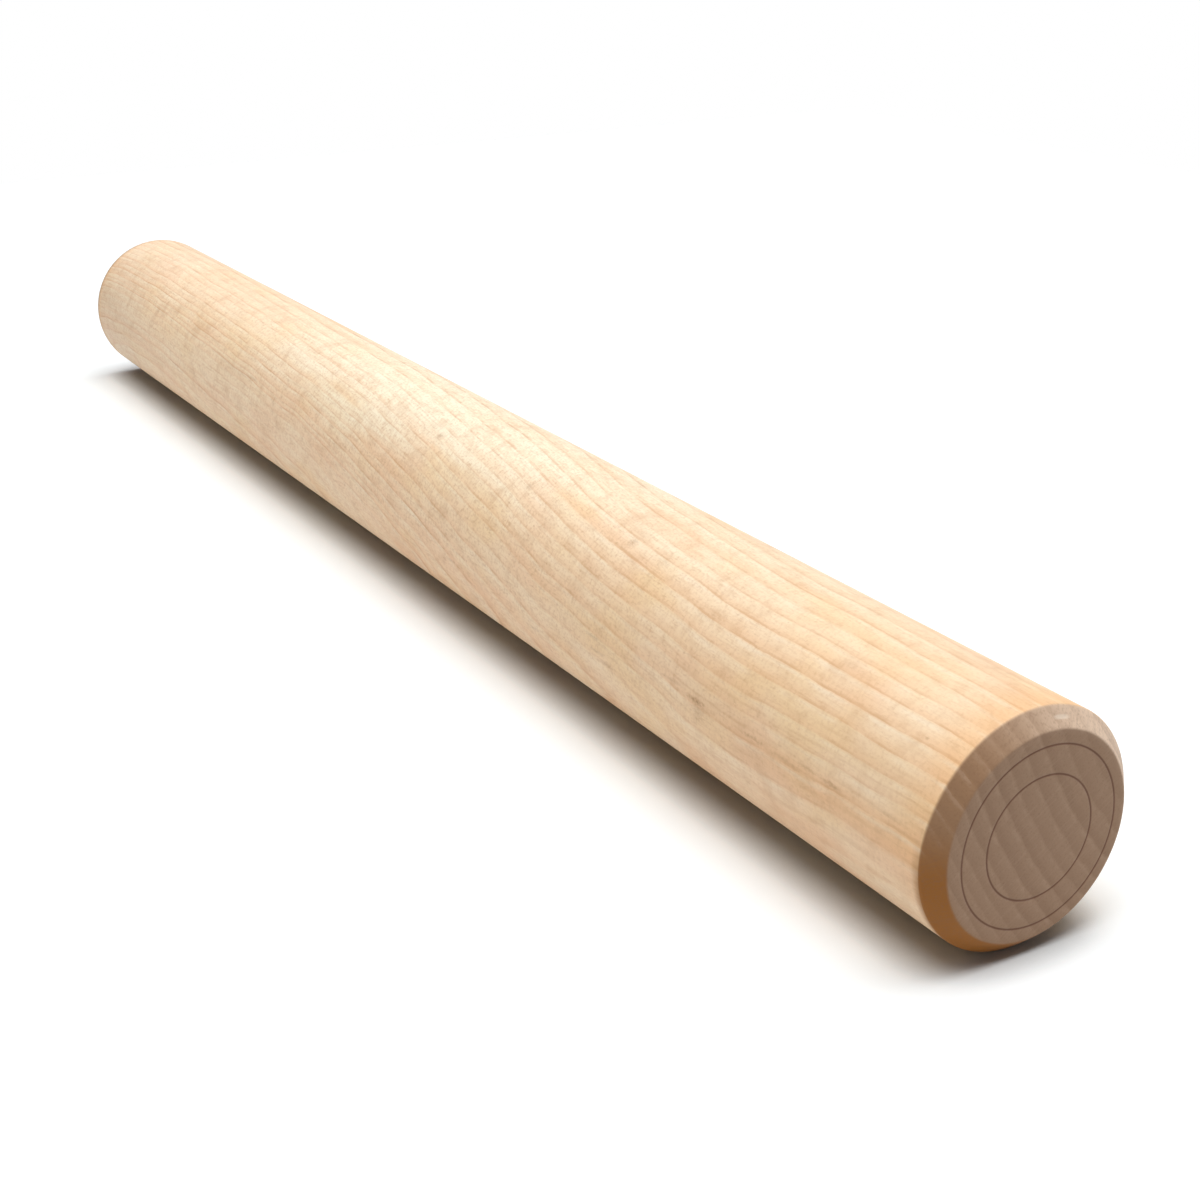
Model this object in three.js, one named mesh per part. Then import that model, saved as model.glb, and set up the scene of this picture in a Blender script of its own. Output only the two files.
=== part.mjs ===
// Dowel rolling pin: one straight length of hard maple, bevelled at both ends, with no handles and no axle.
// Millimetres, +Z up. The pin lies along X on a worktop, and the origin is on the worktop under its middle.
import * as THREE from "three";

// Driving dimensions
const LENGTH = 495.3; // end face to end face, 19.5 in
const DIAMETER = 50.8; // barrel, 2 in
const BEVEL_AXIAL = 3.5; // length of each bevel along the pin
const BEVEL_RADIAL = 3.5; // drop of each bevel from the barrel to the end face
const BARREL_EDGE_RADIUS = 1.2; // sanded round where the barrel meets the bevel
const FACE_EDGE_RADIUS = 0.8; // sanded round where the bevel meets the end face

// Smoothness of the turned surface
const FACETS = 64; // flats around the barrel
const EDGE_STEPS = 2; // each sanded round is drawn with twice as many flats

// Sizes that follow
const RADIUS = DIAMETER / 2;
const END_FACE_RADIUS = RADIUS - BEVEL_RADIAL;
const BEVEL_START = LENGTH / 2 - BEVEL_AXIAL; // where the barrel stops, from the middle of the pin
const HALF_FACET = Math.PI / FACETS;
const AXIS_HEIGHT = RADIUS * Math.cos(HALF_FACET); // the lowest flat lies on the worktop

const maple = new THREE.MeshStandardMaterial({ color: 0xe3c49c, roughness: 0.55, metalness: 0 });

// Adds a straight line towards a corner of the outline, then an arc of the given radius around the corner,
// tangent to the lines on both sides of it.
function turnCorner(outline, before, corner, after, radius) {
  const incoming = corner.clone().sub(before).normalize();
  const outgoing = after.clone().sub(corner).normalize();
  const turn = Math.atan2(incoming.cross(outgoing), incoming.dot(outgoing));
  const setback = radius * Math.tan(Math.abs(turn) / 2);
  const side = Math.sign(turn);
  const arcStart = corner.clone().addScaledVector(incoming, -setback);
  const inward = new THREE.Vector2(-incoming.y, incoming.x).multiplyScalar(side);
  const centre = arcStart.clone().addScaledVector(inward, radius);
  const startAngle = Math.atan2(arcStart.y - centre.y, arcStart.x - centre.x);
  outline.lineTo(arcStart.x, arcStart.y);
  outline.absarc(centre.x, centre.y, radius, startAngle, startAngle + turn, turn < 0);
}

// Half of the pin's lengthwise section, from the centre of one end face to the centre of the other.
// x is the distance from the pin's axis, and y runs along the axis.
function sectionOutline() {
  const corners = [
    { at: new THREE.Vector2(END_FACE_RADIUS, -LENGTH / 2), radius: FACE_EDGE_RADIUS },
    { at: new THREE.Vector2(RADIUS, -BEVEL_START), radius: BARREL_EDGE_RADIUS },
    { at: new THREE.Vector2(RADIUS, BEVEL_START), radius: BARREL_EDGE_RADIUS },
    { at: new THREE.Vector2(END_FACE_RADIUS, LENGTH / 2), radius: FACE_EDGE_RADIUS },
  ];
  const firstCentre = new THREE.Vector2(0, -LENGTH / 2);
  const lastCentre = new THREE.Vector2(0, LENGTH / 2);
  const outline = new THREE.Path().moveTo(firstCentre.x, firstCentre.y);
  corners.forEach((corner, i) => {
    const before = i > 0 ? corners[i - 1].at : firstCentre;
    const after = i + 1 < corners.length ? corners[i + 1].at : lastCentre;
    turnCorner(outline, before, corner.at, after, corner.radius);
  });
  outline.lineTo(lastCentre.x, lastCentre.y);
  return outline.getPoints(EDGE_STEPS);
}

// The dowel is the section turned about its axis, laid along X with a flat downwards.
function makeDowel() {
  const turned = new THREE.LatheGeometry(sectionOutline(), FACETS, HALF_FACET);
  const dowel = new THREE.Mesh(turned, maple);
  dowel.name = "maple_dowel";
  dowel.rotation.z = -Math.PI / 2;
  dowel.position.z = AXIS_HEIGHT;
  return dowel;
}

const rollingPin = new THREE.Group();
rollingPin.name = "dowel_rolling_pin";
rollingPin.add(makeDowel());

export default rollingPin;
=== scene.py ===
"""Dowel rolling pin in hard maple, turned, sanded and oiled, on a white studio floor.

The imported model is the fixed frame. One piece stands for its one node: the dowel as a fine surface of
revolution that carries the stem's growth rings as mesh attributes, dressed in a maple that reads them.
"""
from __future__ import annotations

import logging
import math
from dataclasses import dataclass, field
from enum import Enum

import bpy
import numpy as np
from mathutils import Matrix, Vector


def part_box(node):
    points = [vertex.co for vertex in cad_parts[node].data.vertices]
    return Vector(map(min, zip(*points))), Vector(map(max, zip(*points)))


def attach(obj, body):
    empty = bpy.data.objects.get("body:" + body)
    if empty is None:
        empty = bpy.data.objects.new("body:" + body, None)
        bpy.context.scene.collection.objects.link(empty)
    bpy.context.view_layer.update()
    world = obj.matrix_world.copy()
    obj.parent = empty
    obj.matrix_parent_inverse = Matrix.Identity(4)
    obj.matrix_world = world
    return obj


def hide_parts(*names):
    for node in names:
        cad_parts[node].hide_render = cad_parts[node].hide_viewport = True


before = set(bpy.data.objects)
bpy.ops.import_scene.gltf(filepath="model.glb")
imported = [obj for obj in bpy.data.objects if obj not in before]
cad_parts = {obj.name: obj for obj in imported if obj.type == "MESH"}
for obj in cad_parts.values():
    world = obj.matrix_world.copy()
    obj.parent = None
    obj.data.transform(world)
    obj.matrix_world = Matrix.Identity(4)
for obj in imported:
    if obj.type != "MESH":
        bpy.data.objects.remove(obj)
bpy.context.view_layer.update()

MM = 0.001  # metres in a millimetre

log = logging.getLogger("rolling_pin")

# A colour, its pattern, the pattern's low and high, and the colour's largest share.
Tint = tuple[str, bpy.types.NodeSocket, float, float, float | bpy.types.NodeSocket]


class Layer(str, Enum):
    """The mesh attributes that carry the wood's inner structure to the finish."""

    STEM = "stem"  # millimetres along the grain, around the tree and out from its pith
    RING = "ring"  # growth rings counted outwards, with the part of a year as the fraction
    STRENGTH = "ring_strength"  # how dark the nearest ring's line is
    CLOSE = "close_rings"  # where a second, fainter line lies within each year
    END_GRAIN = "end_grain"  # 0 on the barrel, 1 on the bevels and end faces
    FACE = "end_face"  # 0 on the bevels, 1 on the end faces
    OIL_AND_SHADE = "oil"  # oil-browned end grain of the bevels, with painted shade, brownest low on the camera's side
    PAINTED_WARM_BOUNCE = "amber"  # painted warm bounce light: the orange in the bevels' brown, low on the camera's side
    TOAST = "toast"  # the barrel's last few millimetres, where the oil crept in from the end
    DRY = "dry"  # from 0 at the well-oiled near end to 1 at the far end
    PAINTED_SHEEN = "pale"  # painted sheen: a paler band on the top of the barrel's middle, where a soft reflection falls
    BURNT = "burnt"  # the scorched ring lines of the near face
    CHIP = "chip"  # fresh pale wood where a nick broke the bevel


def linear_rgb(hex_colour: str) -> tuple[float, float, float, float]:
    """Turns an sRGB hex value into the linear colour that a shader socket takes.

    Args:
        hex_colour: Six hex digits after a number sign.

    Returns:
        Linear red, green and blue, and an alpha of 1.
    """
    srgb = np.array([int(hex_colour[i : i + 2], 16) for i in (1, 3, 5)]) / 255.0
    linear = np.where(srgb <= 0.04045, srgb / 12.92, ((srgb + 0.055) / 1.055) ** 2.4)
    return (*linear.tolist(), 1.0)


def add_node(
    tree: bpy.types.NodeTree, kind: str, inputs: dict | None = None, **settings: object
) -> bpy.types.Node:
    """Adds a node, sets its properties, and fills its inputs with values or links.

    Args:
        tree: The node tree that gets the node.
        kind: Blender's type name of the node.
        inputs: Input name or number to a value, or to the output socket that feeds it.
        **settings: Properties of the node.

    Returns:
        The new node.
    """
    node = tree.nodes.new(kind)
    for name, value in settings.items():
        setattr(node, name, value)
    for key, value in (inputs or {}).items():
        socket = node.inputs[key]
        if isinstance(value, bpy.types.NodeSocket):
            tree.links.new(value, socket)
        else:
            socket.default_value = value
    return node


def smooth_step(values: np.ndarray, low: float, high: float) -> np.ndarray:
    """Rises from 0 at low to 1 at high along the cubic 3t^2 - 2t^3, and falls where high is the smaller.

    Args:
        values: Where to evaluate it.
        low: Where it leaves 0.
        high: Where it reaches 1.

    Returns:
        The step at each value.
    """
    t = np.clip((values - low) / (high - low), 0.0, 1.0)
    return t * t * (3.0 - 2.0 * t)


@dataclass(frozen=True)
class GrowthRings:
    """The stem that the dowel was cut from: where its pith lies and how its rings sweep past the pin.

    Lengths are millimetres in the row frame, with the pin's axis at the given height.
    """

    axis_height: float
    pith_distance: float = 135.0  # from the pin's axis
    pith_bearing: float = math.radians(32.75)  # above the worktop, on the far side of the pin
    sweep: float = 5.75  # half of the slow sideways run of the rings along the pin
    sweep_middle: float = 26.0
    sweep_length: float = 72.0
    crook: float = 3.1  # half of the sharper bend, strongest towards the pith
    crook_middle: float = 92.5
    crook_length: float = 27.5
    crook_fade: float = 0.024  # share lost for each millimetre outwards
    lean: float = 0.028  # steady drift, millimetres for each millimetre along
    dip: float = 1.3  # shallow hollow near the front end
    dip_middle: float = 171.0
    dip_length: float = 28.0
    tail: float = 2.0  # how far the rings bend away by the back end
    tail_start: float = -175.0
    tail_length: float = 55.0
    rise: float = 1.4  # how far they come back by the front end
    rise_start: float = 175.0
    rise_length: float = 65.0
    rise_share: float = 0.4  # of the rise at the pin's axis
    rise_growth: float = 20.0  # millimetres outwards for one more share
    rise_most: float = 1.3  # the largest share
    # Ring by ring outwards from the first edge, the width and how dark its line is: broad rings while
    # the tree was young, then close ones.
    first_edge: float = -73.0
    rings: tuple[tuple[float, float], ...] = (
        ((4.9, 0.6), (4.7, 0.8), (4.9, 0.5), (4.8, 0.7), (5.0, 0.9)) * 2
        + ((4.8, 0.70), (4.7, 0.65), (4.3, 1.00), (4.9, 0.95), (4.2, 0.80), (4.1, 0.65), (2.8, 0.55))
        + ((3.3, 0.75), (2.4, 0.65), (2.8, 0.45), (2.6, 0.80), (2.5, 0.60), (1.9, 1.00), (2.5, 0.70))
        + ((1.3, 0.60), (1.0, 1.00), (1.9, 0.45), (1.8, 0.40), (1.5, 0.35), (1.6, 0.55), (1.6, 0.80))
        + ((1.6, 0.45), (1.4, 0.6), (1.7, 0.4), (1.3, 0.7), (1.6, 0.5), (1.5, 0.9)) * 3
    )
    waver: float = 0.16  # height of the small random waves in the rings
    waver_count: int = 14
    waver_lengths: tuple[float, float] = (35.0, 90.0)
    waver_seed: int = 7

    def depth(self, points: np.ndarray) -> tuple[np.ndarray, np.ndarray]:
        """Distance out from a pith that sweeps past the pin, less its distance to the axis.

        The point is measured along the bearing of the pith (outwards) and square to it (around). The plain
        depth is the length of (distance + outwards, around) less the distance. Along the pin it then moves
        by a sum of a slow tanh sweep, a sharper tanh crook that fades outwards, a drift in proportion to
        the place along the pin, a bell-shaped dip, a tail that grows with the square of the way to the
        back end, a rise that does so towards the front end and more on the bark side, and small waves.

        Args:
            points: Places in the row frame, one in each row.

        Returns:
            The depth, and the place around the tree, of each point.
        """
        x = points[:, 0]
        y = points[:, 1]
        z = points[:, 2] - self.axis_height
        cos, sin = math.cos(self.pith_bearing), math.sin(self.pith_bearing)
        outwards = -(y * cos + z * sin)
        around = z * cos - y * sin
        plain = np.hypot(self.pith_distance + outwards, around) - self.pith_distance
        sweep = self.sweep * np.tanh((self.sweep_middle - x) / self.sweep_length)
        bend = np.tanh((self.crook_middle - x) / self.crook_length)
        crook = self.crook * (1.0 - self.crook_fade * plain) * bend
        drift = self.lean * (self.sweep_middle - x)
        dip = self.dip * np.exp(-(((x - self.dip_middle) / self.dip_length) ** 2))
        tail = self.tail * (np.maximum(self.tail_start - x, 0.0) / self.tail_length) ** 2
        rise = self.rise * (np.maximum(x - self.rise_start, 0.0) / self.rise_length) ** 2
        rise = rise * np.clip(self.rise_share + plain / self.rise_growth, 0.0, self.rise_most)
        return plain + sweep + crook + drift + rise - dip - tail + self.small_waves(points), around

    def small_waves(self, points: np.ndarray) -> np.ndarray:
        """Sum of plane sine waves of random direction, length and phase, brought to the waver's height.

        Args:
            points: Places in the row frame, one in each row.

        Returns:
            The waves' height at each point.
        """
        rng = np.random.default_rng(self.waver_seed)
        count = self.waver_count
        lengths = rng.uniform(*self.waver_lengths, count)
        turns = rng.normal(0.0, 1.0, (count, 3))
        waves = 2.0 * np.pi * turns / lengths[:, None]
        phases = rng.uniform(0.0, 2.0 * np.pi, count)
        return self.waver * np.sin(points @ waves.T + phases).sum(axis=1) / math.sqrt(count / 2.0)

    def number(self, depth: np.ndarray) -> tuple[np.ndarray, np.ndarray]:
        """Counts the rings out to each depth, in proportion within a ring, and finds the lines' darkness.

        Args:
            depth: Distances from depth().

        Returns:
            The ring number, whose whole part is the year, and the strength of the nearest ring edges.
        """
        widths, strengths = np.array(self.rings).T
        edges = self.first_edge + np.cumsum(widths)
        return np.interp(depth, edges, np.arange(len(edges))), np.interp(depth, edges, strengths)


@dataclass(frozen=True)
class Streak:
    """One scale of the wood's figure: its length with the grain and its width across it."""

    along_mm: float
    around_mm: float
    outwards_mm: float
    detail: float = 2.0


@dataclass(frozen=True)
class Marks:
    """Mineral marks of one kind: how far each spreads, how dark it is, and where they lie on the barrel."""

    along_mm: float
    across_mm: float
    strength: float
    # Millimetres along the pin, and degrees from its top towards the side that the camera sees.
    places: tuple[tuple[float, float], ...]
    fray: float = 0.9  # how much noise is added to the distance from a mark's middle
    full: float = 0.35  # the sum up to which a mark keeps its strength
    gone: float = 1.45  # the sum at which nothing is left of it


@dataclass(frozen=True)
class WoodNodes:
    """The wood's nodes, and the sockets that its colours are mixed from."""

    tree: bpy.types.NodeTree
    layers: dict[Layer, bpy.types.NodeSocket]  # the mesh attributes
    noise: dict[str, bpy.types.NodeSocket]  # the figure, by the name of its streak
    late: dict[str, bpy.types.NodeSocket] = field(default_factory=dict)  # the growth lines


@dataclass(frozen=True)
class OiledMaple:
    """Hard maple, turned, fine-sanded and wiped with oil.

    The eye sees pale cream wood with a satin sheen, thin tan growth lines that are sharp on the bark side,
    pinkish and golden clouds, a painted sheen with painted glints on top of the middle, a drier and greyer
    far end, faint curl across the grain, fine dashes along it, and darker, duller end grain on the bevels
    and faces, brown where it drank oil, with painted shade and painted warm bounce light low on the
    camera's side.
    """

    radius_mm: float
    axis_mm: float
    name: str = "hard_maple_sanded_and_oiled"
    early_wood: str = "#FCE0BC"
    first_wood: str = "#FFEFD6"
    late_wood: str = "#EDB683"
    line: str = "#C68B50"
    pink_cloud: str = "#F6CDA6"
    gold_cloud: str = "#F8D6A4"
    tan_cloud: str = "#E5BF97"
    figure: str = "#CFA071"
    fleck: str = "#C4946A"
    mineral: str = "#9C682E"
    toast: str = "#F2B97A"
    dry_wood: str = "#F6ECCF"
    # Painted sheen and painted glints: pale cream where a soft reflection falls on the top of the middle.
    painted_sheen_tone: str = "#FFF4D8"
    dull_wood: str = "#D8C6AE"
    face_wood: str = "#A4856C"
    face_first: str = "#B79980"
    face_late: str = "#82624A"
    bevel_wood: str = "#E9CEB5"
    # Oil brown with painted shade, and painted warm bounce light in orange, low on the bevels' camera side.
    bevel_oil_and_shade: str = "#9C795B"
    bevel_painted_bounce: str = "#98622A"
    scorched: str = "#613A2A"
    chipped: str = "#EAD8C4"
    ior: float = 1.45
    satin: tuple[float, float] = (0.46, 0.58)  # roughness of the barrel, from fibre to fibre
    dull: float = 0.58  # roughness of the cut ends
    shine: tuple[float, float] = (0.5, 0.2)  # specular level of the barrel and of the cut ends
    relief: float = 0.05 * MM  # height of the raised fibre
    relief_share: float = 0.3
    line_waver: float = 0.22  # part of a year by which a line strays along the grain
    line_fray: float = 0.08  # part of a year by which its edge frays
    line_shift: float = -0.14  # what brings these two back to about 0 in the mean
    faintest_line: float = 0.2  # what is left of a line where it breaks
    # Maple's pores are about 0.1 mm wide. Fleck, cross and grain are drawn several times coarser, to show.
    streaks: dict[str, Streak] = field(
        default_factory=lambda: {
            "waver": Streak(26.0, 5.0, 5.0, 1.0),
            "ragged": Streak(2.2, 0.7, 0.7),
            "broken": Streak(9.0, 2.2, 2.2, 1.0),
            "pink": Streak(34.0, 12.0, 12.0),
            "gold": Streak(26.0, 14.0, 14.0),
            "tan": Streak(24.0, 9.0, 9.0),
            # The pale streaks break up the painted sheen, and glint draws the painted glints in it.
            "pale": Streak(36.0, 5.0, 5.0),
            "glint": Streak(2.6, 1.0, 1.0, 1.0),
            "mottle": Streak(4.0, 3.0, 3.0, 3.0),
            "curl": Streak(6.0, 9.0, 9.0, 2.0),
            "fibre": Streak(13.0, 0.55, 0.55, 3.0),
            "fleck": Streak(1.7, 0.38, 0.38, 1.0),
            "cross": Streak(0.75, 1.7, 1.7, 1.0),
            "grain": Streak(0.9, 0.6, 0.6),
            "ray": Streak(30.0, 0.45, 6.0),
            "fuzz": Streak(0.8, 0.5, 0.5, 3.0),
        }
    )
    marks: tuple[Marks, ...] = (
        # dots
        Marks(1.2, 0.7, 0.40, ((234.0, 41.2), (-152.5, 53.0))),
        # dark streaks
        Marks(
            6.0,
            0.9,
            0.36,
            ((170.5, 82.8), (129.0, 85.0), (131.5, 91.8), (135.0, 95.8), (210.0, 80.0))
            + ((217.5, 80.4), (100.0, 105.0), (-85.0, 205.0), (-180.0, -110.0)),
        ),
        # faint streaks
        Marks(
            8.0,
            0.9,
            0.32,
            ((161.5, 80.5), (191.0, 82.6), (202.5, 83.0), (234.5, 77.5))
            + ((58.0, 97.0), (-86.5, 64.0), (-185.0, 11.2)),
        ),
        # small knots
        Marks(3.0, 2.2, 0.40, ((126.5, 30.8), (29.5, 32.5), (79.0, 32.0), (64.0, -140.0))),
        # bars across the grain
        Marks(
            3.2,
            8.0,
            0.21,
            ((172.0, 88.0), (218.0, 88.0), (-62.0, 55.0), (-66.0, 72.0), (150.0, -75.0), (140.5, 45.0)),
        ),
        # patches
        Marks(
            7.0,
            4.0,
            0.22,
            ((127.0, 23.5), (140.0, 30.0), (174.0, 86.0), (164.0, 29.5), (165.0, 42.5))
            + ((207.0, 30.0), (193.0, 88.0), (209.5, 88.0), (119.5, 54.5), (51.0, 71.2))
            + ((91.0, 60.0), (96.0, 45.8), (93.0, 34.0), (28.5, 59.5), (-42.0, 30.0)),
        ),
        # soft stains
        Marks(28.0, 9.0, 0.22, ((-104.0, 66.0), (-236.0, 70.0))),
    )

    def material(self) -> bpy.types.Material:
        """Builds the node material.

        Returns:
            The finished material.
        """
        made = bpy.data.materials.new(self.name)
        made.use_nodes = True
        tree = made.node_tree
        tree.nodes.clear()
        layers = {
            layer: add_node(tree, "ShaderNodeAttribute", attribute_name=layer.value).outputs["Fac"]
            for layer in Layer
            if layer is not Layer.STEM
        }
        stem = add_node(tree, "ShaderNodeAttribute", attribute_name=Layer.STEM.value).outputs["Vector"]
        wood = WoodNodes(tree, layers, self.figure_noise(tree, stem))
        wood.late.update(self.growth_lines(wood))
        barrel = self.barrel_colour(wood)
        ends = self.end_colour(wood)
        colour = add_node(
            tree, "ShaderNodeMix", {0: layers[Layer.END_GRAIN], 6: barrel, 7: ends}, data_type="RGBA"
        ).outputs[2]
        self.surface(wood, colour)
        return made

    def figure_noise(
        self, tree: bpy.types.NodeTree, stem: bpy.types.NodeSocket
    ) -> dict[str, bpy.types.NodeSocket]:
        """Lays each scale of figure on the stem's own millimetres, stretched with the grain.

        Args:
            tree: The material's nodes.
            stem: The stem coordinates.

        Returns:
            Streak name to its noise, about 0.5 in the mean.
        """
        noise = {}
        for seed, (name, streak) in enumerate(self.streaks.items()):
            scale = (1.0 / streak.along_mm, 1.0 / streak.around_mm, 1.0 / streak.outwards_mm)
            apart = (17.3 * seed, 5.9 * seed, 11.1 * seed)  # keeps the patterns from lining up
            scaled = add_node(
                tree, "ShaderNodeVectorMath", {0: stem, 1: scale, 2: apart}, operation="MULTIPLY_ADD"
            )
            pattern = add_node(
                tree,
                "ShaderNodeTexNoise",
                {"Vector": scaled.outputs[0], "Scale": 1.0, "Detail": streak.detail},
            )
            noise[name] = pattern.outputs[0]
        return noise

    def growth_lines(self, wood: WoodNodes) -> dict[str, bpy.types.NodeSocket]:
        """Draws each year: a pale first growth, a slow browning, and a thin soft line where it ends.

        Each of them rises along a smooth step over one part of the year and falls along another. The part
        of the year is the fraction of the ring number, after noise has moved it a little.

        Args:
            wood: The nodes, whose figure makes the lines waver, fray and break.

        Returns:
            The thin line, the soft band before it and the pale growth after it, from 0 to the ring's
            strength, and the second line within a year.
        """
        tree, layers, noise = wood.tree, wood.layers, wood.noise
        waver = add_node(
            tree,
            "ShaderNodeMath",
            {0: noise["waver"], 1: self.line_waver, 2: self.line_shift},
            operation="MULTIPLY_ADD",
        ).outputs[0]
        frayed = add_node(
            tree,
            "ShaderNodeMath",
            {0: noise["ragged"], 1: self.line_fray, 2: waver},
            operation="MULTIPLY_ADD",
        ).outputs[0]
        ring = add_node(
            tree, "ShaderNodeMath", {0: layers[Layer.RING], 1: frayed}, operation="ADD"
        ).outputs[0]
        part = add_node(tree, "ShaderNodeMath", {0: ring}, operation="FRACT").outputs[0]
        whole = add_node(
            tree,
            "ShaderNodeMapRange",
            {0: noise["broken"], 1: 0.36, 2: 0.64, 3: self.faintest_line, 4: 1.0},
        ).outputs[0]
        strength = layers[Layer.STRENGTH]
        broken, spare = (
            add_node(tree, "ShaderNodeMath", {0: layers[layer], 1: whole}, operation="MULTIPLY").outputs[0]
            for layer in (Layer.STRENGTH, Layer.CLOSE)
        )
        # The part of the year where each starts, is full, ends and begins to wane, and its strength.
        shapes = {
            "line": (0.75, 0.93, 1.00, 0.95, broken),
            "band": (0.20, 0.91, 1.00, 0.94, strength),
            "first": (0.00, 0.07, 0.42, 0.09, broken),
            "second": (0.32, 0.47, 0.60, 0.48, spare),
        }
        lines = {}
        for name, (start, full, end, wane, most) in shapes.items():
            rise = add_node(
                tree,
                "ShaderNodeMapRange",
                {0: part, 1: start, 2: full, 3: 0.0, 4: most},
                interpolation_type="SMOOTHSTEP",
            )
            fall = add_node(
                tree, "ShaderNodeMapRange", {0: part, 1: end, 2: wane}, interpolation_type="SMOOTHSTEP"
            )
            lines[name] = add_node(
                tree, "ShaderNodeMath", {0: rise.outputs[0], 1: fall.outputs[0]}, operation="MULTIPLY"
            ).outputs[0]
        return lines

    def mineral_marks(self, wood: WoodNodes) -> bpy.types.NodeSocket:
        """Adds up the marks: each fades from its middle to a ragged edge.

        The distance from a mark's middle is divided by its kind's reach along and across the pin, and the
        nearest mark of a kind counts. Noise is added to the distance, and the mark's strength falls along
        a smooth step of the sum, so that it is about full at its middle and gone at its reach.

        Args:
            wood: The nodes, whose figure frays the edges.

        Returns:
            The share of mineral colour.
        """
        tree, noise = wood.tree, wood.noise
        place = add_node(tree, "ShaderNodeTexCoord").outputs["Object"]
        total = 0.0
        for kind in self.marks:
            reach = np.array((kind.along_mm, kind.across_mm, kind.across_mm))
            scale = (1.0 / MM / reach).tolist()
            scaled = add_node(
                tree, "ShaderNodeVectorMath", {0: place, 1: scale}, operation="MULTIPLY"
            ).outputs[0]
            nearest = 9.0  # beyond every reach
            for x, degrees in kind.places:
                angle = math.radians(degrees)
                y, z = -self.radius_mm * math.sin(angle), self.axis_mm + self.radius_mm * math.cos(angle)
                middle = (np.array((x, y, z)) / reach).tolist()
                away = add_node(tree, "ShaderNodeVectorMath", {0: scaled, 1: middle}, operation="DISTANCE")
                nearest = add_node(
                    tree, "ShaderNodeMath", {0: away.outputs["Value"], 1: nearest}, operation="MINIMUM"
                ).outputs[0]
            frayed = add_node(
                tree,
                "ShaderNodeMath",
                {0: noise["fuzz"], 1: kind.fray, 2: nearest},
                operation="MULTIPLY_ADD",
            )
            share = add_node(
                tree,
                "ShaderNodeMapRange",
                {0: frayed.outputs[0], 1: kind.gone, 2: kind.full, 3: 0.0, 4: kind.strength},
                interpolation_type="SMOOTHSTEP",
            )
            total = add_node(
                tree, "ShaderNodeMath", {0: share.outputs[0], 1: total}, operation="ADD"
            ).outputs[0]
        return total

    def tinted(
        self, tree: bpy.types.NodeTree, ground: str, tints: tuple[Tint, ...]
    ) -> bpy.types.NodeSocket:
        """Lays tints over a ground colour, each where its pattern rises from low to high.

        Args:
            tree: The material's nodes.
            ground: The colour below them.
            tints: The colour, pattern, low, high and largest share of each. The largest share is a number,
                or a socket where it changes over the wood.

        Returns:
            The mixed colour.
        """
        colour = linear_rgb(ground)
        for tint, pattern, low, high, most in tints:
            share = add_node(
                tree,
                "ShaderNodeMapRange",
                {0: pattern, 1: low, 2: high, 3: 0.0, 4: most},
                interpolation_type="SMOOTHSTEP",
            )
            colour = add_node(
                tree,
                "ShaderNodeMix",
                {0: share.outputs[0], 6: colour, 7: linear_rgb(tint)},
                data_type="RGBA",
            ).outputs[2]
        return colour

    def barrel_colour(self, wood: WoodNodes) -> bpy.types.NodeSocket:
        """Lays clouds, a painted sheen, growth lines, streaks, fibre, flecks and marks over the pale wood.

        The painted sheen on top of the middle is broken up by streaks and painted glints: its share times
        their noise. From the oiled near end to the dry far end, the fine grain soon doubles and the lines
        and the curl grow stronger, and under the painted sheen the browning of each year is weaker.

        Args:
            wood: The nodes.

        Returns:
            The colour of wood cut along the grain.
        """
        tree, layers, noise, late = wood.tree, wood.layers, wood.noise, wood.late
        # The shares of painted sheen and of painted glints.
        sheen_streaks, painted_glints = (
            add_node(
                tree, "ShaderNodeMath", {0: layers[Layer.PAINTED_SHEEN], 1: noise[name]}, operation="MULTIPLY"
            ).outputs[0]
            for name in ("pale", "glint")
        )
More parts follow.
